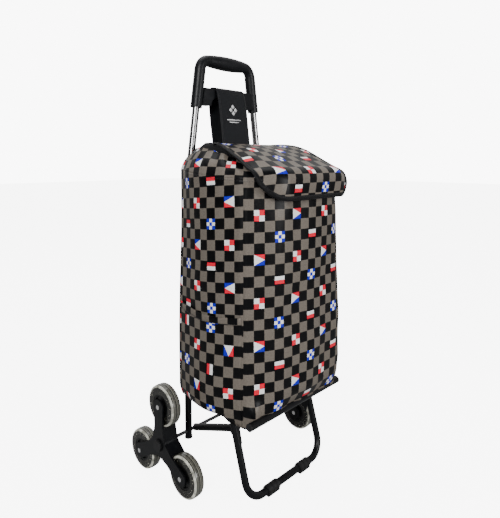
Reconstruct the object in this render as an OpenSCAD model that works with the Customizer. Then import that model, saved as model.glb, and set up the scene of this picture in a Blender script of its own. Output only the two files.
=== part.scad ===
// Folding stair-climbing shopping trolley: tube frame, two tri-wheel stars,
// a hinged platform with a U-shaped stand, and a tall fabric bag with a flap.
// Millimetres, +Z up, the bag's front faces -Y. The origin is on the floor,
// at the middle of the trolley's bounding box.

/* [Frame] */
// Distance between the two uprights, centre to centre
upright_spacing = 248; // [240:1:256]
// Outer diameter of the steel tubes
tube_d = 16; // [16:0.5:16.5]
// Wall of the steel tubes
tube_wall = 1.5; // [1:0.1:2]
// Height at which the uprights bend inwards
bend_z = 620; // [560:5:650]
// Inward lean of the upper tubes, in degrees
lean = 8.2; // [7.8:0.1:8.4]
// Diameter of the wheel axle
axle_d = 8; // [8:0.5:8]

/* [Handle] */
// Top of the handle
handle_top = 960; // [940:1:980]
// Lower end of the handle's sleeves
sleeve_z = 836; // [820:1:845]
// Height of the finger gap between the grip and the lower bar
finger_gap = 46; // [40:1:50]

/* [Wheels] */
// Radius of each wheel
wheel_r = 46; // [44:0.5:47]
// Radius of each wheel's plastic centre
hub_r = 26; // [22:0.5:28]
// Width of each wheel
wheel_w = 24; // [20:0.5:25]
// Distance from a star's axle to its wheel pins
star_r = 87; // [84:0.5:90]
// Distance from the middle of the trolley to the stars' outer faces
star_out_x = 209; // [205:1:215]
// Thickness of a star, over both plates
star_w = 37; // [36:0.5:40]

/* [Stand and platform] */
// Height of the platform's tubes
platform_z = 193; // [190:1:196]
// Distance from the axle forward to the platform's front bar
bar_reach = 222; // [218:1:224]
// Length of the front bar
bar_len = 296; // [280:1:300]
// Distance from the axle forward to the stand's foot tube
foot_reach = 197; // [190:1:200]
// Bend radius of the stand's lower corners
stand_bend_r = 40; // [34:1:44]

/* [Bag] */
// Width of the bag
bag_w = 304; // [296:1:308]
// Distance from the axle forward to the bag's front
bag_reach = 246; // [242:1:250]
// Lower edge of the bag's sides
bag_low_z = 184; // [182:1:186]
// Top seam of the bag's sides
bag_seam_z = 686; // [670:1:695]
// Corner radius of the bag in plan
bag_corner_r = 48; // [36:1:56]
// Thickness of the fabric walls
fabric_t = 3.5; // [3:0.5:4]
// Height of the bag's back edge
bag_back_z = 748; // [740:1:750]
// Width of the flap
flap_w = 296; // [280:1:300]
// Length of the flap's front lip
flap_drop = 58; // [50:1:62]

/* [Hidden] */
$fn = 64;
eps = 0.2;
fit = 0.06;
tube_r = tube_d / 2;
axle_r = axle_d / 2;
axle_z = wheel_r + star_r / 2;
flap_t = 5;
flap_front = bag_reach + 4 + flap_t;
rear_reach = star_r * cos(30) + wheel_r;
// the axle's place along Y puts the origin under the middle of the box
axle_y = (flap_front - rear_reach) / 2;

upright_x = upright_spacing / 2;
upright_low = axle_z - 12;
upright_top = bend_z - 12;
brace_low_z = 228;
brace_high_z = 540;
grip_r_mid = 16.5;
grip_r_end = 13;
grip_z = handle_top - grip_r_mid;
corner_r = 24;
sleeve_x = upright_x - (sleeve_z - bend_z) * tan(lean);
sleeve_len = (grip_z - corner_r * (1 - sin(lean)) - sleeve_z) / cos(lean);
grip_half = sleeve_x - sleeve_len * sin(lean) - corner_r * cos(lean);
lower_bar_top = grip_z - grip_r_mid - finger_gap;
lower_bar_h = 21;
lower_bar_d = 20;

star_in_x = star_out_x - star_w;
star_mid_x = star_out_x - star_w / 2;
plate_t = 4.5;
pin_r = 3.2;
arm_tip_r = 17;
star_hub_r = 25;
wheel_gap = 2;

fold_y = 24;
rail_x = 84;
pivot_z = platform_z - 13;
foot_t = 3;
foot_z = tube_r + foot_t;
stand_pivot_y = 147;
stand_tilt = atan((foot_reach - stand_pivot_y) / (pivot_z - foot_z));
stand_len = (pivot_z - foot_z) / cos(stand_tilt);
rivet_y = 134;
rivet_z = 140;
strut_x = 103.5;
ear_x = 112;
ear_t = 1.8;
strut_rise = atan((rivet_z - axle_z) / rivet_y);
strut_len = norm([rivet_y, rivet_z - axle_z]);

floor_z = platform_z + tube_r + 1;
board_t = 3;
board_half_w = 130;
base_half_w = 136;
back_y = tube_r + 0.4;
front_in = bag_reach - fabric_t;
loop_w = 89;
flap_rear_y = 40;
flap_rear_z = 752;
flap_front_z = 699;

steel_black = [0.05, 0.05, 0.055];
moulded_black = [0.07, 0.07, 0.075];
chrome_grey = [0.8, 0.8, 0.82];
rivet_grey = [0.85, 0.85, 0.85];
pvc_smoke = [0.45, 0.45, 0.4];
check_taupe = [0.5, 0.47, 0.43];
black_cloth = [0.09, 0.09, 0.1];

// ---- helpers ----

// children on one side: -1 is the left (-X), 1 is the right
module side(s) { if (s < 0) mirror([1, 0, 0]) children(); else children(); }

// local frame with its origin over the axle's middle, on the floor
module at_axle() { translate([0, axle_y, 0]) children(); }

// cylinder along X from x0 to x1
module rod_x(x0, x1, r) {
    translate([x0, 0, 0]) rotate([0, 90, 0]) cylinder(h = x1 - x0, r = r);
}

// an outline drawn in (forward, up) turned to stand in the YZ plane, from x0 to x1
module profile_x(x0, x1) {
    translate([x1, 0, 0]) rotate([90, 0, -90]) linear_extrude(x1 - x0) children();
}

module rounded_plan(half_w, y_back, y_front, r) {
    union() {
        translate([-half_w + r, -y_front]) square([2 * (half_w - r), y_front - y_back]);
        translate([-half_w, -y_front + r]) square([2 * half_w, y_front - y_back - r]);
        for (s = [-1, 1]) translate([s * (half_w - r), -y_front + r]) circle(r);
    }
}

// ---- frame ----

module upright(s) {
    color(steel_black) at_axle() side(s) difference() {
        translate([upright_x, 0, upright_low]) cylinder(h = upright_top - upright_low, r = tube_r);
        translate([upright_x, 0, upright_low - 1]) cylinder(h = bend_z, r = tube_r - tube_wall);
        translate([0, 0, axle_z]) rod_x(upright_x - 20, upright_x + 20, axle_r);
    }
}

module upright_plug(s) {
    color(moulded_black) at_axle() side(s) translate([upright_x, 0, upright_low]) rotate_extrude()
        union() {
            square([tube_r - tube_wall, 6]);
            translate([0, -4]) square([tube_r + 1, 4]);
            intersection() {
                translate([0, 8]) circle(sqrt(12 * 12 + 9 * 9) + 0.4);
                translate([0, -9]) square([tube_r + 1, 5]);
            }
        }
}

// chrome tube: a spigot inside the upright, a short stub and the leaning length,
// which meet in a ball a little wider than the tube
module upper_tube(s) {
    spigot = 50;
    stub = bend_z - upright_top;
    top_len = (grip_z - 12 - bend_z) / cos(lean);
    color(chrome_grey) at_axle() side(s) translate([upright_x, 0, bend_z]) union() {
        translate([0, 0, -stub - spigot]) cylinder(h = spigot + 1, r = tube_r - tube_wall);
        translate([0, 0, -stub]) cylinder(h = stub, r = tube_r);
        sphere(tube_r + 0.2);
        rotate([0, -lean, 0]) difference() {
            cylinder(h = top_len, r = tube_r);
            translate([0, 0, 20]) cylinder(h = top_len, r = tube_r - tube_wall);
        }
    }
}

// local frame at a sleeve's lower end, on the tube's line and leaning with it
module at_sleeve(s) {
    at_axle() side(s) translate([sleeve_x, 0, sleeve_z]) rotate([0, -lean, 0]) children();
}

module grip_profile() {
    sag = grip_r_mid - grip_r_end;
    bow_r = (grip_half * grip_half + sag * sag) / (2 * sag);
    intersection() {
        translate([-grip_half, 0]) square([2 * grip_half, grip_r_mid + 1]);
        translate([0, grip_r_mid - bow_r]) circle(bow_r, $fn = 96);
    }
}

module lower_bar_outline() {
    reach = 90;
    arch_w = 55;
    arch_r = 16;
    end_top = 74;
    end_low = 82;
    end_tip = 70;
    low = lower_bar_top - lower_bar_h;
    difference() {
        translate([-reach, sleeve_z + 6]) square([2 * reach, lower_bar_top - sleeve_z - 6]);
        union() {
            translate([-arch_w, 0]) square([2 * arch_w, low - arch_r]);
            translate([-arch_w + arch_r, 0]) square([2 * (arch_w - arch_r), low]);
            for (s = [-1, 1]) translate([s * (arch_w - arch_r), low - arch_r]) circle(arch_r);
        }
        for (s = [-1, 1]) scale([s, 1]) polygon([
            [arch_w, sleeve_z], [reach + 2, sleeve_z], [reach + 2, lower_bar_top + 2],
            [end_top, lower_bar_top + 2], [end_low, sleeve_z + 6], [end_tip, sleeve_z + 6]
        ]);
    }
}

module handle_shell() {
    turn = 90 - lean;
    color(moulded_black) difference() {
        union() {
            for (s = [-1, 1]) at_sleeve(s) {
                cylinder(h = sleeve_len, r1 = 13.2, r2 = grip_r_end);
                translate([-corner_r, 0, sleeve_len]) rotate([90, 0, 0])
                    rotate_extrude(angle = turn) translate([corner_r, 0]) circle(grip_r_end - 0.4);
            }
            at_axle() translate([0, 0, grip_z]) rotate([0, 90, 0]) rotate([0, 0, 90])
                rotate_extrude() rotate(90) grip_profile();
            at_axle() rotate([90, 0, 0]) translate([0, 0, -lower_bar_d / 2])
                linear_extrude(lower_bar_d) lower_bar_outline();
        }
        for (s = [-1, 1]) at_sleeve(s) translate([0, 0, -1]) cylinder(h = sleeve_len, r = tube_r);
    }
}

module axle() {
    collar_t = 2;
    cap_len = 3;
    color(chrome_grey) at_axle() translate([0, 0, axle_z]) union() {
        rod_x(-star_out_x - cap_len, star_out_x + cap_len, axle_r);
        for (s = [-1, 1]) side(s) rod_x(star_in_x - collar_t - 0.3, star_in_x - 0.3, axle_r + 3.5);
    }
}

module axle_cap(s) {
    color(moulded_black) at_axle() side(s) translate([0, 0, axle_z]) difference() {
        rod_x(star_out_x + 0.3, star_out_x + 5, 13);
        rod_x(star_out_x, star_out_x + 3, axle_r);
    }
}

module rear_brace(z) {
    h = 22;
    color(steel_black) at_axle() difference() {
        translate([-upright_x, -1.5, z]) cube([2 * upright_x, 3, h]);
        for (s = [-1, 1]) translate([s * upright_x, 0, z - 1]) cylinder(h = h + 2, r = tube_r);
    }
}

// bracket that holds the platform's hinge in front of an upright
module hinge_bracket(s) {
    color(steel_black) at_axle() side(s) difference() {
        union() {
            translate([0, 0, platform_z]) profile_x(ear_x, ear_x + 3.2) union() {
                translate([-4, -10]) square([fold_y + 4, 20]);
                translate([fold_y, 0]) circle(10);
            }
            translate([ear_x + 1, -4, platform_z - 10]) cube([upright_x - ear_x - 1, 8, 20]);
        }
        translate([upright_x, 0, platform_z - 20]) cylinder(h = 40, r = tube_r);
        translate([0, -fold_y, platform_z]) rod_x(ear_x - 5, upright_x, 4);
    }
}

// ---- bag ----

module bag_wall_plan() {
    difference() {
        rounded_plan(bag_w / 2, back_y, bag_reach, bag_corner_r);
        rounded_plan(bag_w / 2 - fabric_t, back_y - 1, front_in, bag_corner_r - fabric_t);
    }
}

module bag_back() {
    low = floor_z + 12;
    shoulder_z = bag_back_z - 24;
    shoulder_x = bag_w / 2 - fabric_t - 1;
    color(black_cloth) at_axle() translate([0, -back_y, 0]) rotate([90, 0, 0]) linear_extrude(fabric_t)
        polygon([
            [-shoulder_x, low], [shoulder_x, low], [shoulder_x, bag_seam_z - 1],
            [108, shoulder_z], [70, bag_back_z], [-70, bag_back_z],
            [-108, shoulder_z], [-shoulder_x, bag_seam_z - 1]
        ]);
}

module bag_front() {
    front_x = bag_w / 2 - bag_corner_r;
    low = platform_z + tube_r + 0.4;
    color(check_taupe) at_axle() translate([-front_x + eps, -bag_reach, low])
        cube([2 * (front_x - eps), fabric_t, bag_seam_z - low]);
}

// side wall with half of each front corner, cut away where the front bar's end passes
module bag_side(s) {
    front_x = bag_w / 2 - bag_corner_r;
    bar_top = platform_z + tube_r + 0.4;
    color(check_taupe) at_axle() side(s) difference() {
        translate([0, 0, bag_low_z]) linear_extrude(bag_seam_z - bag_low_z) intersection() {
            bag_wall_plan();
            translate([front_x + eps, -bag_reach]) square([bag_corner_r, bag_reach - back_y]);
        }
        translate([0, -bag_reach - 1, bag_low_z - 1])
            cube([bag_w, bag_reach + 1 - bar_reach + tube_r + 2, bar_top - bag_low_z + 1]);
    }
}

// throat that draws in from the side seam to the mouth under the flap
module collar_ring(grow) {
    hull() {
        translate([0, 0, bag_seam_z + 0.3 - (grow < 0 ? 0.1 : 0)]) linear_extrude(0.5)
            rounded_plan(bag_w / 2 + grow, back_y + fabric_t + 0.5, bag_reach + grow, bag_corner_r);
        translate([0, 0, 737 + (grow < 0 ? 0.3 : 0)]) rotate([10.5, 0, 0]) linear_extrude(0.5)
            rounded_plan(118 + grow, back_y + fabric_t + 12, bag_reach - 26 + grow, 40);
    }
}

module bag_collar() {
    color(check_taupe) at_axle() difference() {
        collar_ring(0, $fn = 32);
        collar_ring(-fabric_t, $fn = 32);
    }
}

module side_pocket() {
    front_y = bag_reach - bag_corner_r;
    color(check_taupe) at_axle() translate([-bag_w / 2 - fabric_t - 0.2, -front_y, bag_low_z + 6])
        cube([fabric_t, front_y - back_y - 4, 394 - bag_low_z - 6]);
}

// belt shape: round over the bar, tapering down to a flat lower end
module belt_body(half_w, r, front, back, low) {
    bar_z = lower_bar_top - lower_bar_h / 2;
    profile_x(-half_w, half_w) translate([0, bar_z]) circle(r);
    profile_x(-half_w, half_w)
        polygon([[-r + 0.7, bar_z + 3], [r - 0.7, bar_z + 3], [front, low], [back, low]]);
}

// wide webbing that hangs the bag from the handle's lower bar
module hanging_loop() {
    inner_r = 14.8;
    band = 2.4;
    foot_front = flap_rear_y - 4;
    foot_back = back_y + 1;
    low = bag_back_z + 1;
    color(black_cloth) at_axle() difference() {
        belt_body(loop_w / 2, inner_r + band, foot_front, foot_back, low);
        belt_body(loop_w / 2 + 1, inner_r, foot_front - band, foot_back + band, low + band);
    }
}

module flap() {
    lip_z = flap_front_z - flap_drop;
    round_r = 45;
    color(check_taupe) at_axle() intersection() {
        profile_x(-flap_w / 2, flap_w / 2) polygon([
            [flap_rear_y, flap_rear_z], [flap_rear_y, flap_rear_z + flap_t],
            [flap_front - 16, flap_front_z + flap_t], [flap_front - 4, flap_front_z - 4],
            [flap_front, flap_front_z - 18], [flap_front, lip_z],
            [flap_front - flap_t, lip_z], [flap_front - flap_t, flap_front_z - 18],
            [flap_front - flap_t - 4, flap_front_z - 7], [flap_front - 19, flap_front_z - 1]
        ]);
        rotate([90, 0, 0]) linear_extrude(flap_front + 10) union() {
            translate([-flap_w / 2 + round_r, lip_z]) square([flap_w - 2 * round_r, 200]);
            translate([-flap_w / 2, lip_z + round_r]) square([flap_w, 200]);
            for (s = [-1, 1]) translate([s * (flap_w / 2 - round_r), lip_z + round_r]) circle(round_r);
        }
    }
}

// ---- platform ----

// side rail, notched round the front bar, with its hinge pin and the lug for the stand's pin
module platform_rail(s) {
    saddle = 2;
    color(steel_black) at_axle() side(s) union() {
        difference() {
            translate([rail_x, -fold_y + tube_r, platform_z]) rotate([90, 0, 0])
                cylinder(h = bar_reach - fold_y + tube_r - saddle, r = tube_r);
            translate([0, -bar_reach, platform_z]) rod_x(rail_x - 20, rail_x + 20, tube_r);
        }
        translate([0, -fold_y, platform_z]) rod_x(rail_x, ear_x + 4.5, 4 - fit);
        translate([0, 0, pivot_z]) profile_x(rail_x + 5, rail_x + 8.5) union() {
            translate([stand_pivot_y, 0]) circle(8);
            translate([stand_pivot_y - 8, 0]) square([16, 13]);
        }
        translate([0, -stand_pivot_y, pivot_z]) rod_x(rail_x + 5, upright_x + tube_r + 0.4, 4 - fit);
    }
}

module front_bar() {
    color(steel_black) at_axle() translate([0, -bar_reach, platform_z]) difference() {
        rod_x(-bar_len / 2, bar_len / 2, tube_r);
        rod_x(-bar_len / 2 - 1, bar_len / 2 + 1, tube_r - tube_wall);
    }
}

module front_bar_cap(s) {
    color(moulded_black) at_axle() side(s) translate([0, -bar_reach, platform_z]) union() {
        rod_x(bar_len / 2 - 12, bar_len / 2, tube_r - tube_wall);
        rod_x(bar_len / 2, bar_len / 2 + 3, tube_r);
    }
}

module base_board() {
    color([0.2, 0.2, 0.2]) at_axle() translate([-board_half_w, -bar_reach + 6, floor_z + 1.6])
        cube([2 * board_half_w, bar_reach - fold_y - 20, board_t]);
}

module bag_base() {
    color(black_cloth) at_axle() translate([-base_half_w, -bar_reach, floor_z])
        cube([2 * base_half_w, bar_reach - fold_y - 14, 1.4]);
}

// ---- stand ----

// local frame on the stand's pivot line, with -Z running down its legs
module at_stand() {
    at_axle() translate([0, -stand_pivot_y, pivot_z]) rotate([-stand_tilt, 0, 0]) children();
}

module stand_tube() {
    leg = stand_len - stand_bend_r;
    run = upright_x - stand_bend_r;
    color(steel_black) difference() {
        union() {
            at_stand() {
                for (s = [-1, 1]) side(s) {
                    translate([upright_x, 0, -leg]) cylinder(h = leg + 9, r = tube_r);
                    translate([run, 0, -leg]) rotate([90, 0, 0]) rotate([0, 0, -90])
                        rotate_extrude(angle = 90) translate([stand_bend_r, 0]) circle(tube_r);
                }
                translate([0, 0, -stand_len]) rod_x(-run, run, tube_r);
            }
            for (s = [-1, 1]) side(s) stand_ear();
        }
        at_stand() rod_x(-upright_x - 20, upright_x + 20, 4);
    }
}

// plate behind a leg's top that the strut is riveted to
module stand_ear() {
    at_axle() union() {
        profile_x(ear_x, ear_x + ear_t) union() {
            translate([rivet_y, rivet_z]) circle(8);
            polygon([
                [rivet_y - 4, rivet_z + 7], [rivet_y - 5, rivet_z - 6.5],
                [stand_pivot_y + 15, rivet_z - 32], [stand_pivot_y + 17, rivet_z - 20],
                [stand_pivot_y + 2, pivot_z - 10]
            ]);
        }
        profile_x(ear_x, upright_x - 2) polygon([
            [stand_pivot_y + 8, rivet_z + 8], [stand_pivot_y + 12, rivet_z + 8],
            [stand_pivot_y + 18, rivet_z - 18], [stand_pivot_y + 14, rivet_z - 18]
        ]);
        translate([0, -rivet_y, rivet_z]) rod_x(strut_x - tube_r - 2, ear_x + ear_t + 1.4, 3 - fit);
    }
}

// clip-on foot around the stand's lower tube, ribbed, with a flat sole
module foot(s) {
    len = 36;
    place_x = 54;
    rib_w = 6;
    color(moulded_black) at_axle() side(s) translate([place_x, -foot_reach, foot_z]) difference() {
        union() {
            rod_x(-len / 2, len / 2, tube_r + foot_t - 1);
            for (x = [-15, -3, 9]) rod_x(x, x + rib_w, tube_r + foot_t - 0.2);
            translate([-len / 2, -tube_r, -foot_z]) cube([len, 2 * tube_r, 6]);
        }
        rod_x(-len, len, tube_r);
    }
}

module strut(s) {
    head = 9;
    color(steel_black) at_axle() side(s) translate([strut_x, 0, axle_z]) rotate([-strut_rise, 0, 0])
        difference() {
            rotate([90, 0, 0]) cylinder(h = strut_len + head, r = tube_r);
            rod_x(-20, 20, axle_r + 0.4);
            translate([0, -strut_len, 0]) rod_x(-20, 20, 3);
        }
}

// ---- stars and wheels ----

// angle of each wheel around the star, from straight up towards the rear
function spoke(where) = where == "top" ? 0 : where == "rear" ? 120 : -120;

module star_outline() {
    waist = 14.5;
    circle(star_hub_r);
    for (a = [0, 120, 240]) rotate(a) {
        translate([0, star_r]) circle(arm_tip_r);
        polygon([
            [-star_hub_r + 2, 0], [star_hub_r - 2, 0],
            [waist, star_r * 0.5], [arm_tip_r - 0.6, star_r - 3],
            [-arm_tip_r + 0.6, star_r - 3], [-waist, star_r * 0.5]
        ]);
    }
}

module star_core_outline() {
    difference() {
        intersection() {
            star_outline();
            circle(star_r - wheel_r * 0.45);
        }
        for (a = [0, 120, 240]) rotate(a) translate([0, star_r]) circle(wheel_r + wheel_gap);
    }
}

// one moulded half of a star: its plate and half of the core between the plates
module star_half(plate_x, core_x) {
    translate([0, 0, axle_z]) rotate([90, 0, 90]) difference() {
        union() {
            translate([0, 0, plate_x]) linear_extrude(plate_t) star_outline();
            translate([0, 0, core_x]) linear_extrude(star_w / 2 - plate_t) star_core_outline();
        }
        translate([0, 0, star_in_x - 1]) cylinder(h = star_w + 2, r = axle_r + fit);
        for (a = [0, 120, 240]) rotate(a) translate([0, star_r, star_in_x - 1])
            cylinder(h = star_w + 2, r = pin_r);
    }
}

module star_outer(s) {
    color(moulded_black) at_axle() side(s) star_half(star_out_x - plate_t, star_mid_x);
}

module star_inner(s) {
    color(moulded_black) at_axle() side(s) star_half(star_in_x, star_in_x + plate_t);
}

module at_wheel(s, where) {
    a = spoke(where);
    at_axle() side(s) translate([0, star_r * sin(a), axle_z + star_r * cos(a)]) children();
}

module wheel_pin(s, where) {
    head_r = 5;
    color(rivet_grey) at_wheel(s, where) union() {
        rod_x(star_in_x - 1.2, star_out_x + 1.2, pin_r);
        rod_x(star_in_x - 1.2, star_in_x, head_r);
        rod_x(star_out_x, star_out_x + 1.2, head_r);
    }
}

module wheel_hub(s, where) {
    half = wheel_w / 2 - 1;
    color(moulded_black) at_wheel(s, where) translate([star_mid_x, 0, 0]) rotate([0, 90, 0])
        difference() {
            cylinder(h = 2 * half, r = hub_r, center = true);
            for (d = [-1, 1]) translate([0, 0, d * half]) difference() {
                cylinder(h = 8, r = hub_r - 4, center = true);
                cylinder(h = 10, r = 9, center = true);
            }
            cylinder(h = wheel_w + 4, r = pin_r + fit, center = true);
        }
}

module tyre(s, where) {
    half = wheel_w / 2;
    shoulder = 5;
    crown_r = 60;
    color(pvc_smoke) at_wheel(s, where) translate([star_mid_x, 0, 0]) rotate([0, 90, 0])
        rotate_extrude() intersection() {
            translate([hub_r, -half]) square([wheel_r - hub_r, wheel_w]);
            translate([wheel_r - crown_r, 0]) circle(crown_r);
            union() {
                translate([hub_r, -half]) square([wheel_r - hub_r - shoulder, wheel_w]);
                translate([hub_r, -half + shoulder]) square([wheel_r, wheel_w - 2 * shoulder]);
                for (d = [-1, 1])
                    translate([wheel_r - shoulder - 0.3, d * (half - shoulder)]) circle(shoulder);
            }
        }
}

upright(-1);  // upright_left
upright(1);  // upright_right
upright_plug(-1);  // upright_plug_left
upright_plug(1);  // upright_plug_right
upper_tube(-1);  // upper_tube_left
upper_tube(1);  // upper_tube_right
handle_shell();
axle();
axle_cap(-1);  // axle_cap_left
axle_cap(1);  // axle_cap_right
rear_brace(brace_low_z);  // rear_brace_low
rear_brace(brace_high_z);  // rear_brace_high
hinge_bracket(-1);  // hinge_bracket_left
hinge_bracket(1);  // hinge_bracket_right
bag_back();
bag_front();
bag_side(-1);  // bag_left
bag_side(1);  // bag_right
bag_collar();
side_pocket();
hanging_loop();
flap();
platform_rail(-1);  // platform_rail_left
platform_rail(1);  // platform_rail_right
front_bar();
front_bar_cap(-1);  // front_bar_cap_left
front_bar_cap(1);  // front_bar_cap_right
base_board();
bag_base();
stand_tube();
foot(-1);  // foot_left
foot(1);  // foot_right
strut(-1);  // strut_left
strut(1);  // strut_right
star_outer(-1);  // star_outer_left
star_outer(1);  // star_outer_right
star_inner(-1);  // star_inner_left
star_inner(1);  // star_inner_right
wheel_pin(-1, "top");  // pin_left_top
wheel_pin(-1, "front");  // pin_left_front
wheel_pin(-1, "rear");  // pin_left_rear
wheel_pin(1, "top");  // pin_right_top
wheel_pin(1, "front");  // pin_right_front
wheel_pin(1, "rear");  // pin_right_rear
wheel_hub(-1, "top");  // hub_left_top
wheel_hub(-1, "front");  // hub_left_front
wheel_hub(-1, "rear");  // hub_left_rear
wheel_hub(1, "top");  // hub_right_top
wheel_hub(1, "front");  // hub_right_front
wheel_hub(1, "rear");  // hub_right_rear
tyre(-1, "top");  // tyre_left_top
tyre(-1, "front");  // tyre_left_front
tyre(-1, "rear");  // tyre_left_rear
tyre(1, "top");  // tyre_right_top
tyre(1, "front");  // tyre_right_front
tyre(1, "rear");  // tyre_right_rear
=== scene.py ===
"""Looks of the shopping trolley: materials, soft goods, light and camera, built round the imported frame."""

import math

import bpy
import numpy as np
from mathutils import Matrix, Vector


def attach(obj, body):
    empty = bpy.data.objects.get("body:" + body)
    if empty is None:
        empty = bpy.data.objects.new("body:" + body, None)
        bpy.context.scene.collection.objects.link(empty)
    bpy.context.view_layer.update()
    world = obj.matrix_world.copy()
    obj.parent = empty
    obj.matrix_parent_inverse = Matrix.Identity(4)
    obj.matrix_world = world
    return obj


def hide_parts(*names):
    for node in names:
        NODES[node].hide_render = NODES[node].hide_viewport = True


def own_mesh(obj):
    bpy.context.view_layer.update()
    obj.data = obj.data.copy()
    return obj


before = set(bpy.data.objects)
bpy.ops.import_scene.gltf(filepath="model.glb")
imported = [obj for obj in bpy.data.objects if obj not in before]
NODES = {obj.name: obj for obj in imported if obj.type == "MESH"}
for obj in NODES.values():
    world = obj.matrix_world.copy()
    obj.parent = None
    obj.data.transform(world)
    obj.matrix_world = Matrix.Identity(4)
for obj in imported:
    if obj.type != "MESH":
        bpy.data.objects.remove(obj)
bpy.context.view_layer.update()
AXLE_Y = 66.828  # millimetres, where the axle lies along Y
CELL = 22.0  # side of a printed square, in millimetres
TYRE_D = 92.0  # across a tyre, in millimetres


# ---- helpers: millimetres (x, forward distance from the axle, height) to row-frame metres ----


def to_row(x, f, z):
    x, f, z = np.broadcast_arrays(x, f, z)
    return np.stack([x, AXLE_Y - f, z], -1) * 0.001


def ramp(a, b, t):
    t = np.clip((np.asarray(t, float) - a) / (b - a), 0, 1)
    return t * t * (3 - 2 * t)


def curve_through(points, steps=12):
    """Catmull-Rom curve through the points."""
    p = np.array(points, float)
    q = np.vstack([2 * p[0] - p[1], p, 2 * p[-1] - p[-2]])
    out = []
    t = np.linspace(0, 1, steps, endpoint=False)[:, None]
    for a, b, c, d in zip(q[:-3], q[1:-2], q[2:-1], q[3:]):
        squared, cubed = 2 * a - 5 * b + 4 * c - d, 3 * b - a - 3 * c + d
        out.append(0.5 * (2 * b + (c - a) * t + squared * t**2 + cubed * t**3))
    return np.vstack([*out, p[-1:]])


def lengths(curve):
    return np.concatenate([[0], np.cumsum(np.linalg.norm(np.diff(curve, axis=0), axis=1))])


def mesh_from(name, points, faces, uvs=None, materials=(), face_material=None):
    """A smooth-shaded object. uvs holds one pair per face corner."""
    mesh = bpy.data.meshes.new(name)
    mesh.from_pydata([tuple(p) for p in np.asarray(points).reshape(-1, 3)], [], faces)
    if uvs is not None:
        layer = mesh.uv_layers.new(name="cells")
        layer.data.foreach_set("uv", np.asarray(uvs, np.float32).ravel())
    for m in materials:
        mesh.materials.append(m)
    if face_material is not None:
        mesh.polygons.foreach_set("material_index", face_material)
    mesh.polygons.foreach_set("use_smooth", [True] * len(mesh.polygons))
    mesh.update()
    obj = bpy.data.objects.new(name, mesh)
    bpy.context.scene.collection.objects.link(obj)
    return obj


def grid(name, points, uv, materials, closed=False, flip=False):
    """Surface over a grid of points [rows][columns]; uv(rows, columns) gives each corner's cells."""
    rows, cols = points.shape[:2]
    faces, corners = [], []
    for i in range(rows - 1):
        for j in range(cols - (0 if closed else 1)):
            k = (j + 1) % cols
            faces.append((i * cols + j, i * cols + k, (i + 1) * cols + k, (i + 1) * cols + j))
            corners.append(((i, j), (i, j + 1), (i + 1, j + 1), (i + 1, j)))
            if flip:
                faces[-1], corners[-1] = faces[-1][::-1], corners[-1][::-1]
    return mesh_from(name, points, faces, [uv(i, j, c) for c in corners for i, j in c], materials)


def thicken(obj, mm, offset=-1.0, lining=True):
    m = obj.modifiers.new("thickness", "SOLIDIFY")
    m.thickness, m.offset = mm * 0.001, offset
    m.use_even_offset = False
    m.material_offset = 1 if lining else 0
    m.material_offset_rim = 0
    return obj


def waves(u, v, seed, count=7, low=0.012, high=0.03):
    """Gentle uneven dents, in the range of about -1 to 1, over two coordinates in millimetres."""
    r = np.random.default_rng(seed)
    total = 0
    for _ in range(count):
        a, w, phase = r.uniform(0, 2 * np.pi), r.uniform(low, high), r.uniform(0, 6.28)
        total = total + np.sin((u * np.cos(a) + v * np.sin(a)) * w * np.pi + phase)
    return total / count * 1.8


# ---- materials ----


class Nodes:
    """Short way to write a node material."""

    def __init__(self, name):
        self.material = bpy.data.materials.new(name)
        self.material.use_nodes = True
        self.tree = self.material.node_tree
        self.shader = self.tree.nodes["Principled BSDF"]

    def put(self, kind, inputs=(), **settings):
        n = self.tree.nodes.new("ShaderNode" + kind)
        for k, v in settings.items():
            setattr(n, k, v)
        for k, v in dict(inputs).items():
            if isinstance(v, bpy.types.NodeSocket):
                self.tree.links.new(v, n.inputs[k])
            else:
                n.inputs[k].default_value = v
        return n

    def calc(self, operation, *values):
        return self.put("Math", dict(enumerate(values)), operation=operation).outputs[0]

    def mix(self, factor, a, b):
        inputs = {0: factor, 6: a, 7: b}
        return self.put("Mix", inputs, data_type="RGBA").outputs[2]

    def set(self, name, value):
        if isinstance(value, bpy.types.NodeSocket):
            self.tree.links.new(value, self.shader.inputs[name])
        else:
            self.shader.inputs[name].default_value = value

    def bump(self, height, strength, distance):
        b = self.put("Bump", {"Strength": strength, "Distance": distance, "Height": height})
        self.set("Normal", b.outputs[0])

    def noise(self, scale, detail=3.0, rough=0.55, vector=None):
        inputs = {"Scale": scale, "Detail": detail, "Roughness": rough}
        if vector is not None:
            inputs["Vector"] = vector
        return self.put("TexNoise", inputs).outputs[0]

    def spread(self, value, a, b, low, high):
        return self.put("MapRange", {0: value, 1: a, 2: b, 3: low, 4: high}).outputs[0]


def plain(name, color, rough, metallic=0.0, grain=None, wear=0.0, shine=0.25):
    """One colour. grain is the scale and strength of a fine bump, and wear lightens patches."""
    n = Nodes(name)
    n.set("Specular IOR Level", 0.5 if metallic else shine)
    where = n.put("TexCoord").outputs["Object"]
    n.set("Metallic", metallic)
    if wear:
        patch = n.noise(38.0, 4.0, 0.6, where)
        lighter = [min(1, c * 1.9 + 0.012) for c in color[:3]] + [1]
        n.set("Base Color", n.mix(n.spread(patch, 0.5, 0.8, 0.0, wear), [*color, 1], lighter))
        n.set("Roughness", n.spread(patch, 0.3, 0.7, rough - 0.06, rough + 0.08))
    else:
        n.set("Base Color", [*color, 1])
        n.set("Roughness", rough)
    if grain:
        n.bump(n.noise(grain[0], 2.0, 0.5, where), grain[1], 0.0004)
    return n.material


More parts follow.
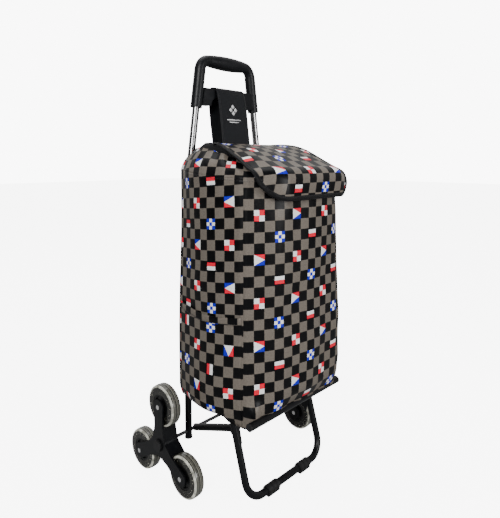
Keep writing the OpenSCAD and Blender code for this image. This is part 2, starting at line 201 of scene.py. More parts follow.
# colours of the print
BLACK, TAUPE = (0.0010, 0.0011, 0.0015, 1), (0.135, 0.117, 0.098, 1)
RED, BLUE, WHITE = (0.72, 0.012, 0.035, 1), (0.008, 0.012, 0.42, 1), (0.86, 0.86, 0.86, 1)


def checked_fabric():
    """Printed, coated weave. The UV map counts printed squares, and its small flags repeat every eight."""
    n = Nodes("checked_cloth")
    uv = n.put("UVMap", uv_map="cells").outputs[0]
    split = n.put("SeparateXYZ", {0: uv})
    c = n.calc
    x, y = c("ADD", split.outputs[0], 64.0), c("ADD", split.outputs[1], 64.0)
    ix, iy, fx, fy = c("FLOOR", x), c("FLOOR", y), c("FRACT", x), c("FRACT", y)
    even = c("LESS_THAN", c("MODULO", c("ADD", ix, iy), 2.0), 0.5)
    even_x = c("LESS_THAN", c("MODULO", ix, 2.0), 0.5)
    both = c("MULTIPLY", even, even_x)
    flag = c("MULTIPLY", both, c("COMPARE", c("MODULO", c("ADD", ix, iy), 4.0), 2.0, 0.5))
    same = c(
        "COMPARE",
        c("MODULO", c("FLOOR", c("DIVIDE", ix, 4.0)), 2.0),
        c("MODULO", c("FLOOR", c("DIVIDE", iy, 4.0)), 2.0),
        0.5,
    )
    in_two = c("COMPARE", c("MODULO", ix, 4.0), 2.0, 0.5)
    right, low = c("GREATER_THAN", fx, 0.5), c("GREATER_THAN", fy, 0.5)
    # quartered flag
    quarter = n.mix(c("COMPARE", right, low, 0.5), RED, WHITE)
    # pennant: a white triangle from the left, red over blue
    off_middle = c("ABSOLUTE", c("SUBTRACT", fy, 0.5))
    in_pennant = c("LESS_THAN", c("MULTIPLY", off_middle, 2.0), c("SUBTRACT", 1.0, fx))
    pennant = n.mix(in_pennant, n.mix(low, RED, BLUE), WHITE)
    # three by three chequer
    thirds = c("ADD", c("FLOOR", c("MULTIPLY", fx, 3.0)), c("FLOOR", c("MULTIPLY", fy, 3.0)))
    chequer = n.mix(c("LESS_THAN", c("MODULO", thirds, 2.0), 0.5), WHITE, BLUE)
    # white over red, not as tall as the square
    band = c("LESS_THAN", off_middle, 0.36)
    halves = n.mix(band, BLACK, n.mix(low, WHITE, RED))
    twos = n.mix(same, pennant, quarter)
    fours = n.mix(same, chequer, halves)
    figures = n.mix(in_two, fours, twos)
    ground = n.mix(even, BLACK, TAUPE)
    # the yarns show in the pale squares
    warp = c("SINE", c("MULTIPLY", x, 2 * math.pi * 18))
    weft = c("SINE", c("MULTIPLY", y, 2 * math.pi * 18))
    fleck = n.noise(7.0, 5.0, 0.7, uv)
    shade = c("ADD", c("MULTIPLY", warp, 0.05), n.spread(fleck, 0.3, 0.7, 0.76, 1.14))
    tone = n.put("CombineColor", {0: shade, 1: shade, 2: shade}).outputs[0]
    print_color = n.mix(flag, ground, figures)
    layers = {0: 1.0, 6: print_color, 7: tone}
    n.set("Base Color", n.put("Mix", layers, data_type="RGBA", blend_type="MULTIPLY").outputs[2])
    n.set("Roughness", n.spread(fleck, 0.3, 0.7, 0.40, 0.52))
    n.set("Specular IOR Level", 0.06)
    n.set("Coat Weight", 0.14)
    n.set("Coat Roughness", 0.27)
    n.bump(c("ADD", c("MULTIPLY", warp, 0.5), c("MULTIPLY", weft, 0.5)), 0.22, 0.0002)
    return n.material


def black_weave(name, color, rough, scale=18.0, sheen=0.15):
    """Plain cloth; its UV map is in printed-square units too."""
    n = Nodes(name)
    uv = n.put("UVMap", uv_map="cells").outputs[0]
    split = n.put("SeparateXYZ", {0: uv})
    c = n.calc
    a = c("SINE", c("MULTIPLY", split.outputs[0], 2 * math.pi * scale))
    b = c("SINE", c("MULTIPLY", split.outputs[1], 2 * math.pi * scale))
    fleck = n.noise(5.0, 4.0, 0.6, uv)
    paler = [v * 1.7 for v in color]
    n.set("Base Color", n.mix(n.spread(fleck, 0.3, 0.75, 0.0, 1.0), [*color, 1], [*paler, 1]))
    n.set("Roughness", rough)
    n.set("Sheen Weight", sheen)
    n.set("Specular IOR Level", 0.15)
    n.bump(c("MULTIPLY", a, b), 0.35, 0.0002)
    return n.material


CLOTH = checked_fabric()
LINING = black_weave("lining_cloth", (0.010, 0.010, 0.011), 0.6)
WEBBING = black_weave("webbing_weave", (0.0030, 0.0034, 0.0045), 0.5, 14.0, 0.03)
TAPE = black_weave("binding_tape", (0.0012, 0.0012, 0.0016), 0.5, 26.0, 0.01)
THREAD = plain("pale_thread", (0.55, 0.55, 0.55), 0.6, grain=(2500.0, 0.3))
DARK_THREAD = plain("dark_thread", (0.03, 0.03, 0.032), 0.6)
PAINT = plain("powder_coat", (0.0028, 0.0030, 0.0038), 0.34, grain=(900.0, 0.06), wear=0.25, shine=0.2)
PLASTIC = plain("plug_plastic", (0.0085, 0.0085, 0.0092), 0.5, grain=(1400.0, 0.1))
HANDLE = plain("handle_plastic", (0.0035, 0.0038, 0.0050), 0.40, grain=(1600.0, 0.16), wear=0.25, shine=0.2)
STAR = plain("star_plastic", (0.0030, 0.0032, 0.0040), 0.34, grain=(1100.0, 0.08), wear=0.2, shine=0.18)
HUB = plain("hub_plastic", (0.0045, 0.0046, 0.005), 0.3)
STEEL = plain("zinc_steel", (0.11, 0.11, 0.115), 0.35, 1.0)
RIVET = plain("rivet_steel", (0.86, 0.86, 0.86), 0.2, 1.0)
BOARD = plain("board", (0.02, 0.02, 0.021), 0.6)


def tyre_vinyl():
    """A smoky ring with glitter, a clear rim painted pale in place of the light that shows through it, and a
    streaked tread, told apart by their radius.
    """
    n = Nodes("tyre_vinyl")
    split = n.put("SeparateXYZ", {0: n.put("TexCoord").outputs["Generated"]})
    c = n.calc
    dy, dz = c("SUBTRACT", split.outputs[1], 0.5), c("SUBTRACT", split.outputs[2], 0.5)
    r = c("MULTIPLY", c("SQRT", c("ADD", c("MULTIPLY", dy, dy), c("MULTIPLY", dz, dz))), TYRE_D)
    where = n.put("TexCoord").outputs["Object"]
    spots = n.put("TexVoronoi", {"Vector": where, "Scale": 230.0})
    glint = c("LESS_THAN", spots.outputs["Distance"], 0.2)
    cloud = n.noise(60.0, 4.0, 0.6, where)
    round_tread = n.put("CombineXYZ", {0: c("MULTIPLY", r, 0.09), 1: split.outputs[0]}).outputs[0]
    streaks = n.noise(16.0, 2.0, 0.5, round_tread)
    haze = n.mix(n.spread(cloud, 0.4, 0.7, 0.0, 1.0), (0.004, 0.004, 0.003, 1), (0.022, 0.021, 0.017, 1))
    band = c("MULTIPLY", n.spread(r, 31.5, 33.5, 0.0, 1.0), n.spread(r, 38.0, 39.5, 1.0, 0.0))
    sparkle = c("MULTIPLY", glint, c("ADD", 0.12, c("MULTIPLY", band, 0.8)))
    smoke = n.mix(sparkle, haze, (0.50, 0.49, 0.40, 1))
    # painted light: the clear rim's pale colour stands in for the light that shows through the clear vinyl
    clear = n.mix(n.spread(cloud, 0.4, 0.66, 0.0, 1.0), (0.20, 0.198, 0.165, 1), (0.70, 0.69, 0.60, 1))
    tread = n.mix(n.spread(streaks, 0.45, 0.62, 0.0, 1.0), (0.012, 0.012, 0.010, 1), (0.20, 0.196, 0.165, 1))
    rim = n.mix(n.spread(r, 44.6, 45.4, 0.0, 1.0), clear, tread)
    n.set("Base Color", n.mix(n.spread(r, 39.8, 41.0, 0.0, 1.0), smoke, rim))
    n.set("Roughness", 0.22)
    n.set("Specular IOR Level", 0.3)
    n.set("Coat Weight", 0.25)
    n.set("Coat Roughness", 0.08)
    n.bump(cloud, 0.12, 0.0006)
    return n.material


def chrome_tube():
    """Bright plate with a painted reflection: the dark and light stripes a round chromed tube shows in a
    white room are painted into its colour, set by which way the surface faces.
    """
    n = Nodes("chrome_painted_reflection")
    normal_in = {0: n.put("TexCoord").outputs["Normal"], 1: (0.695, -0.719, 0.0)}
    facing = n.put("VectorMath", normal_in, operation="DOT_PRODUCT")
    # painted reflection: the base colour turns dark and light with the surface's facing, standing in for the
    # room mirrored in the chrome
    painted_reflection = n.put("ValToRGB", {0: n.spread(facing.outputs["Value"], -1.0, 1.0, 0.0, 1.0)})
    reflection_ramp = painted_reflection.color_ramp
    stops = (
        (0.0, 0.02), (0.07, 0.03), (0.2, 0.5), (0.34, 0.2),
        (0.5, 0.24), (0.62, 1.0), (0.74, 0.1), (1.0, 0.02),
    )  # fmt: skip
    while len(reflection_ramp.elements) < len(stops):
        reflection_ramp.elements.new(0.5)
    for e, (at, v) in zip(reflection_ramp.elements, stops):
        e.position, e.color = at, (v, v, v * 1.01, 1)
    n.set("Base Color", painted_reflection.outputs[0])
    n.set("Metallic", 1.0)
    n.set("Roughness", 0.2)
    n.set("Specular Tint", (0.1, 0.1, 0.1, 1))
    return n.material


TYRE, CHROME = tyre_vinyl(), chrome_tube()
FINISH = {
    "upright_plug": PLASTIC, "axle_cap": PLASTIC, "front_bar_cap": PLASTIC, "foot_": PLASTIC,
    "upright_": PAINT, "rear_brace": PAINT, "hinge_bracket": PAINT, "platform_rail": PAINT,
    "front_bar": PAINT, "stand_tube": PAINT, "strut_": PAINT, "upper_tube": CHROME,
    "handle_shell": HANDLE, "axle": STEEL, "base_board": BOARD, "star_": STAR, "pin_": RIVET,
    "hub_": HUB, "tyre_": TYRE,
}  # fmt: skip
for node, obj in NODES.items():
    found = next((m for start, m in FINISH.items() if node.startswith(start)), LINING)
    obj.data.materials.clear()
    obj.data.materials.append(found)

# ---- the bag's wall: one cloth from the rear left sleeve round the front to the rear right ----

PLAN = curve_through([
    (-110, 7), (-113, -5), (-121, -10.5), (-130, -9.5), (-135, -3), (-139, 12), (-145, 27), (-151, 42),
    (-158, 64), (-162, 86), (-163, 108), (-161, 130), (-156, 151), (-148, 172), (-139, 194.6),
    (-127, 205.5), (-111, 214.6), (-92, 224.5), (-71, 232.6), (-48, 237.6), (-25, 240.6), (-2, 244.2),
    (21, 246.6), (44, 246.8), (67, 245.6), (90, 243.4), (111, 239), (128, 231), (139, 219), (145, 203),
    (148, 186), (150, 165), (152, 140), (152, 112), (151, 84), (148, 56), (144, 32), (139, 14),
    (135, -3), (130, -9.5), (121, -10.5), (113, -5), (110, 7),
])  # fmt: skip
ALONG = lengths(PLAN)
LEFT_SEAM = ALONG[14 * 12]
ALONG = ALONG - LEFT_SEAM
S_REAR_LEFT, S_REAR_RIGHT = ALONG[0], ALONG[-1]
S_RIGHT_SEAM = ALONG[29 * 12]
S_RIGHT_FROM, S_RIGHT_TO = ALONG[24 * 12], ALONG[29 * 12]
S_RIGHT_END = ALONG[37 * 12]


def plan_at(s):
    """Point and outward normal of the wall's plan at arc distance s from the near left seam."""
    p = np.stack([np.interp(s, ALONG, PLAN[:, 0]), np.interp(s, ALONG, PLAN[:, 1])], -1)
    d = np.stack([np.interp(s + 3, ALONG, v) - np.interp(s - 3, ALONG, v) for v in PLAN.T], -1)
    d = d / np.maximum(np.linalg.norm(d, axis=-1, keepdims=True), 1e-9)
    return p, np.stack([-d[..., 1], d[..., 0]], -1)


def seam_z(s):
    """Height of the top seam."""
    return np.interp(s, [S_REAR_LEFT, -200, 0, S_RIGHT_SEAM, S_RIGHT_END], [697, 696, 680, 680, 696])


def hem_z(s):
    """Lower edge of the wall: over the bar in front, below it at the corners."""
    r = S_RIGHT_SEAM
    left = [S_REAR_LEFT, -200, -150, -100, -60, -46, -34, -12]
    left_z = [184, 184, 186, 190, 193, 190, 179, 176]
    front = [4, 18, 40, 80, 120, r - 60, r - 40, r - 20]
    front_z = [176, 179, 186, 193, 197, 197, 194, 187]
    return np.interp(s, [*left, *front, r, r + 30, S_REAR_RIGHT], [*left_z, *front_z, 184, 188, 186])


def wall_at(s, z, out=0.0):
    """Point on the bag's wall, pushed out by some millimetres."""
    p, n = plan_at(s)
    near_right_seam = ramp(S_RIGHT_FROM, S_RIGHT_TO, s)
    right = near_right_seam * (1 - ramp(S_RIGHT_END - 90, S_RIGHT_END, s))
    push = right * np.interp(z, [176, 198, 261, 450, 632, 690], [-6, 4, 15, 7, -5, -8])
    # the left sleeve hangs wider low down
    sleeve = ramp(S_REAR_LEFT, S_REAR_LEFT + 22, s) * (1 - ramp(-225, -135, s))
    push = push + 9 * sleeve * (1 - ramp(300, 640, z))
    # the front is drawn in over the bar, and stretched over the board's corner
    push = push - 15 * ramp(40, 130, s) * (1 - near_right_seam) * np.clip((232 - z) / 30, 0, 1) ** 1.6
    push = push + 12.5 * np.exp(-(((s - 22) / 15) ** 2)) * (1 - ramp(211, 238, z))
    # the sides are drawn in at the hem
    side = 1 - ramp(-14, 0, s) + ramp(S_RIGHT_SEAM, S_RIGHT_SEAM + 14, s)
    push = push - 5 * side * np.clip((205 - z) / 20, 0, 1) ** 1.5
    body = ramp(S_REAR_LEFT + 45, S_REAR_LEFT + 90, s) * (1 - ramp(S_REAR_RIGHT - 90, S_REAR_RIGHT - 45, s))
    dents = waves(s, z, 5) * 1.1 + waves(s, z, 8, 5, 0.004, 0.009) * 1.6
    creases = waves(s * 1.5, z * 0.6, 12, 6, 0.02, 0.05) * 1.5 * ramp(615, 680, z)
    push = push + body * (dents + creases) * ramp(176, 230, z)
    seam_groove = np.exp(-((s / 2.2) ** 2)) + np.exp(-(((s - S_RIGHT_SEAM) / 2.2) ** 2))
    push = push - 1.6 * seam_groove + out
    return p[..., 0] + n[..., 0] * push, p[..., 1] + n[..., 1] * push


def wall_cells(s, z, panel):
    """Printed squares on the wall: the left and right panels are cut with the print upside down."""
    if panel == "front":
        return s / CELL + 1, (608.6 - z) / CELL + 0.5
    back = -s if panel == "left" else s - S_RIGHT_SEAM
    return back / CELL + 1.15, (z + 0.0835 * back - 201.6) / CELL * 1.0139 + 0.384


def panel_of(corners, columns):
    middle = sum(columns[j] for _, j in corners) / len(corners)
    return "left" if middle < 0 else "front" if middle < S_RIGHT_SEAM else "right"


def spaced(stops, step):
    """Values from the first stop to the last, with each stop among them."""
    out = []
    for a, b in zip(stops[:-1], stops[1:]):
        out += list(np.linspace(a, b, max(2, round((b - a) / step) + 1))[:-1])
    return np.array([*out, stops[-1]])


SEAM_STOPS = [edge + d for edge in (0, S_RIGHT_SEAM) for d in (-2.4, 0, 2.4)]
S_COLS = spaced([S_REAR_LEFT, *SEAM_STOPS, S_REAR_RIGHT], 5.5)
ss, tt = np.meshgrid(S_COLS, np.linspace(0, 1, 92))
zz = hem_z(ss) * (1 - tt) + seam_z(ss) * tt
wx, wf = wall_at(ss, zz)
bag_wall = grid(
    "bag_wall", to_row(wx, wf, zz),
    lambda i, j, c: wall_cells(ss[i, j], zz[i, j], panel_of(c, S_COLS)), [CLOTH, LINING],
)
thicken(bag_wall, 1.3)

# ---- collar: the same cloth, drawn in to the mouth ----

rise = np.linspace(0, 1, 22)
cs, ct = np.meshgrid(S_COLS, rise)
low_z = seam_z(cs)
lx, lf = wall_at(cs, low_z)
mouth_x = lx * 0.775
mouth_f = 14 + (lf - 14) * 0.83 + 6 * (1 - np.clip(lf / 100, 0, 1))
mouth_z = np.interp(mouth_f, [0, 20, 90, 160, 215], [742, 745, 741, 716, 701])
bow = np.sin(np.pi * np.clip(ct * 1.1, 0, 1)) * 7
drawn = (waves(cs * 2.2, ct * 20, 21, 6, 0.02, 0.05)) * 3.4 * ct**1.2
cx = lx * (1 - ct) + mouth_x * ct + np.sign(lx) * (bow + drawn) * 0.7 * np.minimum(1, np.abs(lx) / 90)
cf = lf * (1 - ct) + mouth_f * ct + (bow * 0.8 + drawn) * ramp(60, 190, lf)
cz = low_z + (mouth_z - low_z) * ct**0.9 + drawn * 0.5
collar = grid(
    "bag_collar_cloth", to_row(cx, cf, cz),
    lambda i, j, c: wall_cells(cs[i, j], low_z[i, j] + ct[i, j] * 66, panel_of(c, S_COLS)), [CLOTH, LINING],
)
thicken(collar, 1.2)

# ---- side pocket with its folded hem ----

P_COLS = spaced([-196, -3], 5.0)
HEM = 15.0  # height of the pocket's folded hem, in millimetres


def pocket_top(s):
    return np.interp(s, [-196, -140, -110, -60, -3], [403, 400, 398, 399, 404])


def pocket_loose(s):
    """1 where the pocket stands free of the wall, 0 at its sewn sides."""
    return ramp(-196, -176, s) * (1 - ramp(-22, -3, s))


def pocket_cells(s, z):
    """The pocket's print is turned a quarter, and runs down and back."""
    return (468.5 + 0.07 * s - z) / CELL + 8.5, -s / CELL + 7.1


def hem_at(s, z, out):
    """Point on the pocket's folded hem."""
    return wall_at(s, z, out + pocket_loose(s) * (1.2 + waves(s, z, 31) * 0.5))


ps, pt = np.meshgrid(P_COLS, np.linspace(0, 1, 40))
pz = (hem_z(ps) + 3) * (1 - pt) + pocket_top(ps) * pt
bulge = 2.6 * ramp(0, 0.3, pt) * (1 - 0.6 * pt) + waves(ps, pz, 31) * 0.5
px, pf = wall_at(ps, pz, 1.8 + pocket_loose(ps) * bulge)
pocket = grid(
    "side_pocket_cloth", to_row(px, pf, pz),
    lambda i, j, c: pocket_cells(ps[i, j], pz[i, j]), [CLOTH, LINING],
)
thicken(pocket, 1.2)
hs, ht = np.meshgrid(P_COLS, np.linspace(0, 1, 5))
hz = pocket_top(hs) + 0.8 - HEM * (1 - ht)
hx, hf = hem_at(hs, hz, 3.1 + 0.5 * np.sin(np.pi * ht))
pocket_hem = grid(
    "side_pocket_hem", to_row(hx, hf, hz),
    lambda i, j, c: pocket_cells(hs[i, j] - 9, hz[i, j]), [CLOTH, LINING],
)
thicken(pocket_hem, 1.4)

# ---- black back panel with its arched top ----

bx, bt = np.meshgrid(np.linspace(-112, 112, 46), np.linspace(0, 1, 60))
b_top = np.interp(np.abs(bx), [0, 55, 72, 92, 112], [757, 758, 757, 745, 715])
bz = 207 + (b_top - 207) * bt
b_in = 1 - (np.abs(bx) / 112) ** 4
bf = 7.5 + b_in * (waves(bx, bz, 41) * 1.3 - 2.0) + 2.5 * ramp(690, 757, bz)
back_panel = grid(
    "bag_back_cloth", to_row(bx, bf, bz),
    lambda i, j, c: (bx[i, j] / CELL, bz[i, j] / CELL), [LINING, LINING],
)
thicken(back_panel, 1.3)

# ---- cloth floor on the platform ----

gx, gt = np.meshgrid(np.linspace(-134, 134, 40), np.linspace(0, 1, 34))
front_x = [-134, -127, -111, -92, -71, 95, 115, 128, 134]
front_f = np.interp(gx, front_x, [184, 194, 204, 214, 222, 222, 216, 204, 190])
gf = 40 + gt * (front_f - 40)
gz = 202.35 + 0.12 * waves(gx, gf, 51)
bag_floor = grid(
    "bag_floor_cloth", to_row(gx, gf, gz),
    lambda i, j, c: (gx[i, j] / CELL, gf[i, j] / CELL), [LINING, LINING],
)
thicken(bag_floor, 1.0)

# ---- flap: over the mouth and down the front, bound with black tape ----

FLAP_RUN = curve_through([
    (39.5, 752.5), (60, 754.5), (85, 753), (115, 746.5), (150, 734), (185, 720), (215, 708),
    (236, 701), (247, 693), (252.5, 682), (254, 668), (254, 652), (253, 637),
])  # fmt: skip
FLAP_LONG = lengths(FLAP_RUN)
B_END = FLAP_LONG[-1]
ROUND_LEFT, ROUND_RIGHT = 66.0, 36.0  # radii of the flap's lower corners


def flap_sides(b):
    """Left and right edges at distance b down the flap, with round lower corners."""
    left = np.interp(b, [0, 30, 60, 90, 120, 155, 190, 240], [-76, -101, -118, -126, -130, -132, -133, -133])
    right = np.interp(b, [0, 25, 60, 100, 240], [104, 122, 138, 147, 150])
    down_left = np.clip(b - (B_END - ROUND_LEFT), 0, ROUND_LEFT)
    down_right = np.clip(b - (B_END - ROUND_RIGHT), 0, ROUND_RIGHT)
    left = left + ROUND_LEFT - np.sqrt(np.maximum(ROUND_LEFT**2 - down_left**2, 0))
    right = right - ROUND_RIGHT + np.sqrt(np.maximum(ROUND_RIGHT**2 - down_right**2, 0))
    return left, right


def flap_at(x, b, lift=0.0):
    """Point on the flap, at width x and distance b down it, raised by some millimetres."""
    f = np.interp(b, FLAP_LONG, FLAP_RUN[:, 0])
    z = np.interp(b, FLAP_LONG, FLAP_RUN[:, 1])
    df = np.interp(b + 2, FLAP_LONG, FLAP_RUN[:, 0]) - np.interp(b - 2, FLAP_LONG, FLAP_RUN[:, 0])
    dz = np.interp(b + 2, FLAP_LONG, FLAP_RUN[:, 1]) - np.interp(b - 2, FLAP_LONG, FLAP_RUN[:, 1])
    k = np.maximum(np.hypot(df, dz), 1e-9)
    away = ramp(120, 235, b)
    pull = -30 * ramp(-60, -135, x) * away - 10 * ramp(110, 152, x) * away
    droop = -6 * ramp(95, 150, np.abs(x - 11)) * ramp(60, 150, b) * (1 - ramp(230, 260, b))
    soft = waves(x, b, 61, 6, 0.006, 0.016) * 1.5 * ramp(10, 60, b)
    up = lift + soft
    return x, f + pull - dz / k * up, z + droop + df / k * up


rows = spaced([0, B_END - ROUND_LEFT, B_END - ROUND_RIGHT, B_END - 8, B_END], 4.6)
rows[-1] = B_END - 0.01
fu, fb = np.meshgrid(np.linspace(0, 1, 58), rows)
fl, fr = flap_sides(fb)
flx = fl + (fr - fl) * fu
ax, af, az = flap_at(flx, fb)


def flap_cells(x, b):
    """Printed squares on the flap: a little sheared, and uneven down its length."""
    down = np.interp(b, [0, 100, 146, 213, 253, 330], [-0.05, 4.5, 6.5, 8.5, 10.5, 14.0])
    return 7.82 + 0.0431 * x + 0.00955 * b, down


flap_cloth = grid(
    "flap_cloth", to_row(ax, af, az),
    lambda i, j, c: flap_cells(flx[i, j], fb[i, j]), [CLOTH, LINING], flip=True,
)
thicken(flap_cloth, 1.6)


def edge_path():
    """The flap's outline from the rear left corner, round the hem, to the rear right corner, in (x, b)."""
    turn_left, turn_right = B_END - ROUND_LEFT, B_END - ROUND_RIGHT
    left = [(flap_sides(b)[0], b) for b in spaced([0, turn_left], 6.0)]
    mid_left = flap_sides(turn_left)[0] + ROUND_LEFT
    mid_right = flap_sides(turn_right)[1] - ROUND_RIGHT
    for a in np.linspace(0, math.pi / 2, 16)[1:]:
        left.append((mid_left - ROUND_LEFT * math.cos(a), turn_left + ROUND_LEFT * math.sin(a)))
    right = [
        (mid_right + ROUND_RIGHT * math.sin(a), turn_right + ROUND_RIGHT * math.cos(a))
        for a in np.linspace(0, math.pi / 2, 12)
    ]
    hem = [(x, B_END) for x in np.linspace(left[-1][0], right[0][0], 30)[1:-1]]
    up = [(flap_sides(b)[1], b) for b in spaced([0, turn_right], 6.0)[::-1][1:]]
    return np.array(left + hem + right + up, float)


edge = edge_path()
tangent = np.gradient(edge, axis=0)
tangent /= np.linalg.norm(tangent, axis=1, keepdims=True)
inward = np.stack([tangent[:, 1], -tangent[:, 0]], -1)
TAPE_W = 9.0
# the folded tape's outline: distance in from the edge, and height above the cloth
across = np.array([
    (TAPE_W, 0.15), (TAPE_W - 0.5, 1.0), (TAPE_W / 2, 1.25), (0.6, 1.1), (-0.9, 0.2),
    (-0.9, -1.6), (0.6, -2.7), (TAPE_W / 2, -2.9), (TAPE_W - 0.5, -2.6), (TAPE_W, -1.75),
])  # fmt: skip
exy = edge[:, None, :] + inward[:, None, :] * across[None, :, 0:1]
ex, ef, ez = flap_at(exy[..., 0], np.clip(exy[..., 1], 0, B_END), across[None, :, 1])
over = exy[..., 1] - B_END
ez = np.where(over > 0, ez - over, ez)
run = lengths(edge)
binding = grid(
    "flap_binding", to_row(ex, ef, ez),
    lambda i, j, c: (run[i] / CELL, j * 0.09), [TAPE], closed=True,
)

# ---- hanging loop: one webbing belt round the handle's lower bar ----

LOOP = curve_through([
    (36.5, 753), (32.5, 780), (27.5, 815), (23.5, 842), (20, 860), (16.5, 873), (11, 881.5), (3, 884.4),
    (-5, 884), (-11.5, 879), (-13.3, 868), (-12, 845), (-8, 810), (-3, 780), (1, 757),
], 8)  # fmt: skip
loop_run = lengths(LOOP)
d = np.gradient(LOOP, axis=0)
d /= np.linalg.norm(d, axis=1, keepdims=True)
normal = np.stack([-d[:, 1], d[:, 0]], -1)
HALF = 44.5  # half the webbing's width


def belt(x, i, lift=0.0):
    """Points across the webbing at one step of its run, raised by some millimetres."""
    w = waves(x * 1.0, loop_run[i], 71, 5, 0.004, 0.012) * np.clip((878 - LOOP[i, 1]) / 40, 0, 1)
    return to_row(x, LOOP[i, 0] - normal[i, 0] * (lift + w), LOOP[i, 1] - normal[i, 1] * (lift + w))


xs = np.linspace(-HALF, HALF, 20)
loop_pts = np.stack([belt(xs, i) for i in range(len(LOOP))])
loop_belt = grid(
    "loop_webbing", loop_pts,
    lambda i, j, c: (xs[j] / CELL, loop_run[i] / CELL), [WEBBING, WEBBING],
)
thicken(loop_belt, 1.8, 0.0)

# ---- stitches: short raised dashes along a path on a surface ----


def stitches(name, path, body, material=DARK_THREAD, long=3.0, gap=2.2, thick=0.38):
    """path holds row-frame points; each dash is a flattened four-sided bar."""
    path = np.asarray(path, float)
    along = lengths(path)
    verts, faces = [], []
    at = 1.5
    while at * 0.001 < along[-1] - 0.004:
        a = np.array([np.interp(at * 0.001, along, path[:, k]) for k in range(3)])
        b = np.array([np.interp((at + long) * 0.001, along, path[:, k]) for k in range(3)])
        t = (b - a) / max(np.linalg.norm(b - a), 1e-9)
        u = np.cross(t, (0.31, 0.52, 0.79))
        u /= np.linalg.norm(u)
        v = np.cross(t, u)
        base = len(verts)
        r = thick * 0.001
        for p, q in ((a, 0.55), ((a + b) / 2, 1.0), (b, 0.55)):
            verts += [p + side * r * q for side in (u, v, -u, -v)]
        for ring in (0, 4):
            for k in range(4):
                n = (k + 1) % 4
                faces.append((base + ring + k, base + ring + n, base + ring + 4 + n, base + ring + 4 + k))
        faces += [(base + 3, base + 2, base + 1, base), (base + 8, base + 9, base + 10, base + 11)]
        at += long + gap
    o = mesh_from(name, verts, faces, None, [material])
    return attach(o, body)


for side, x in (("left", -HALF + 4), ("right", HALF - 4)):
    stitches(f"loop_stitches_{side}", [belt(np.array(x), i, 1.1) for i in range(len(LOOP))], "frame")
tape_in = edge + inward * 7.2
tx, tf, tz = flap_at(tape_in[:, 0], tape_in[:, 1], 1.35)
stitches("binding_stitches", to_row(tx, tf, tz), "flap")
line_s = np.linspace(S_REAR_LEFT + 60, S_REAR_RIGHT - 60, 320)
line_z = seam_z(line_s) - 4
lx2, lf2 = wall_at(line_s, line_z, 0.2)
seam_stitch = stitches("seam_stitches", to_row(lx2, lf2, line_z), "frame")
hem_s = np.linspace(-190, -8, 90)
hem_line = pocket_top(hem_s) - 12.5
sx, sf = hem_at(hem_s, hem_line, 3.5)
pocket_stitch = stitches("pocket_stitches", to_row(sx, sf, hem_line), "frame")

# ---- plain woven mark on the loop: four lozenges over two bars, no lettering ----


def mark():
    """Flat patches that follow the front of the loop."""
    verts, faces = [], []

    def row_at(z):
        """Step of the loop's front run nearest to a height."""
        return int(np.argmin(np.abs(LOOP[:40, 1] - z)))

    front = LOOP[: row_at(884)]

    def patch(outline):
        base = len(verts)
        for x, z in outline:
            i = row_at(z)
            f = np.interp(z, front[:, 1], front[:, 0])
            w = waves(np.array(x), loop_run[i], 71, 5, 0.004, 0.012) * np.clip((878 - z) / 40, 0, 1)
            verts.append(to_row(np.array(x), f + 1.35 + w, np.array(z)))
        faces.append(tuple(range(base, base + len(outline))))

    middle_x, middle_z, reach, cut = -2.0, 834.0, 13.0, 5.4
    quarters = [math.pi / 2 * k for k in range(4)]
    for a in quarters:
        x, z = middle_x + (reach - cut) * math.cos(a), middle_z + (reach - cut) * math.sin(a)
        patch([(x + cut * math.cos(b), z + cut * math.sin(b)) for b in quarters])
    for z, w in ((811.0, 22.0), (805.5, 15.0)):
        left, right = middle_x - w, middle_x + w
        patch([(left, z - 1.2), (right, z - 1.2), (right, z + 1.2), (left, z + 1.2)])
    return mesh_from("loop_mark", verts, faces, None, [THREAD])


loop_mark = mark()
solid = loop_mark.modifiers.new("thickness", "SOLIDIFY")
solid.thickness, solid.offset = 0.0005, 0.0

# ---- what each piece rides on and stands for ----

for piece, nodes in (
    (bag_wall, ["bag_front", "bag_left", "bag_right"]), (collar, ["bag_collar"]), (pocket, ["side_pocket"]),
    (back_panel, ["bag_back"]), (loop_belt, ["hanging_loop"]), (pocket_hem, []), (loop_mark, []),
):  # fmt: skip
    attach(piece, "frame")
    if nodes:
        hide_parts(*nodes)
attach(bag_floor, "platform")
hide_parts("bag_base")
for piece in (flap_cloth, binding):
    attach(piece, "flap")
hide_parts("flap")
for piece in (bag_wall, collar, seam_stitch, pocket, pocket_hem, pocket_stitch):
    to_row(0, 8.4, 400).tolist()
    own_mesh(piece)

# ---- floor, light, camera ----

bpy.ops.mesh.primitive_plane_add(size=30, location=(0, 0, 0))
floor = bpy.context.object
floor.name = "floor"
FLOOR = Nodes("studio_floor")
FLOOR.set("Roughness", 1.0)
FLOOR.set("Specular IOR Level", 0.0)
FLOOR.set("Emission Color", (1, 1, 1, 1))
seen = FLOOR.put("LightPath").outputs["Is Camera Ray"]
FLOOR.set("Base Color", FLOOR.mix(seen, (0.3, 0.3, 0.3, 1), (0.8, 0.8, 0.8, 1)))
FLOOR.set("Emission Strength", FLOOR.spread(seen, 0.0, 1.0, 0.05, 7.0))
floor.data.materials.append(FLOOR.material)

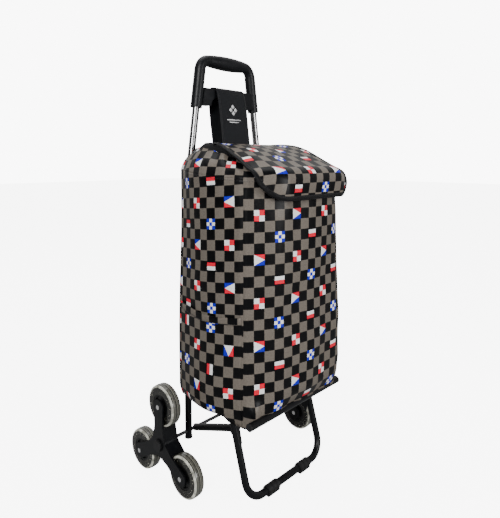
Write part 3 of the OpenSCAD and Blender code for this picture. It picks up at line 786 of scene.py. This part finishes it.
# seen by the camera the room is white; what lights the trolley is brighter behind it and dim in front
world = bpy.data.worlds.new("studio")
bpy.context.scene.world = world
world.use_nodes = True
wt = world.node_tree
toward = wt.nodes.new("ShaderNodeVectorMath")
toward.operation = "DOT_PRODUCT"
toward.inputs[1].default_value = (0.70, 0.71, 0.0)
wt.links.new(wt.nodes.new("ShaderNodeTexCoord").outputs["Generated"], toward.inputs[0])
level = wt.nodes.new("ShaderNodeMapRange")
for k, v in ((1, -0.2), (2, 0.7), (3, 0.05), (4, 1.0)):
    level.inputs[k].default_value = v
wt.links.new(toward.outputs["Value"], level.inputs[0])
choose = wt.nodes.new("ShaderNodeMix")
wt.links.new(wt.nodes.new("ShaderNodeLightPath").outputs["Is Camera Ray"], choose.inputs[0])
wt.links.new(level.outputs[0], choose.inputs[2])
choose.inputs[3].default_value = 9.0
wt.links.new(choose.outputs[0], wt.nodes["Background"].inputs[1])
wt.nodes["Background"].inputs[0].default_value = (1, 1, 1, 1)


def area(name, place, at, size, power):
    data = bpy.data.lights.new(name, "AREA")
    data.energy, data.shape, data.size, data.size_y = power, "RECTANGLE", size[0], size[1]
    lamp = bpy.data.objects.new(name, data)
    bpy.context.scene.collection.objects.link(lamp)
    lamp.location = place
    lamp.rotation_euler = (Vector(at) - Vector(place)).to_track_quat("-Z", "Y").to_euler()


area("key", (-2.3, -1.3, 1.75), (0, 0, 0.5), (0.7, 1.3), 92)
area("fill", (0.4, -2.7, 1.0), (0, 0, 0.45), (1.0, 1.2), 50)
area("top", (0.1, 0.3, 2.9), (0, 0, 0.5), (1.8, 1.8), 36)

camera = bpy.data.cameras.new("camera")
camera.sensor_width, camera.lens = 36, 33.97
camera.shift_y = -0.1139
camera.clip_start, camera.clip_end = 0.05, 60
cam = bpy.data.objects.new("camera", camera)
bpy.context.scene.collection.objects.link(cam)
turn, tilt = math.radians(-45.96), math.radians(4.64)
back = Vector((math.sin(turn) * math.cos(tilt), -math.cos(turn) * math.cos(tilt), math.sin(tilt)))
cam.location = (-0.8102, -0.7959, 0.7168)
cam.rotation_mode = "QUATERNION"
cam.rotation_quaternion = (-back).to_track_quat("-Z", "Y")
bpy.context.scene.camera = cam

bpy.context.view_layer.update()
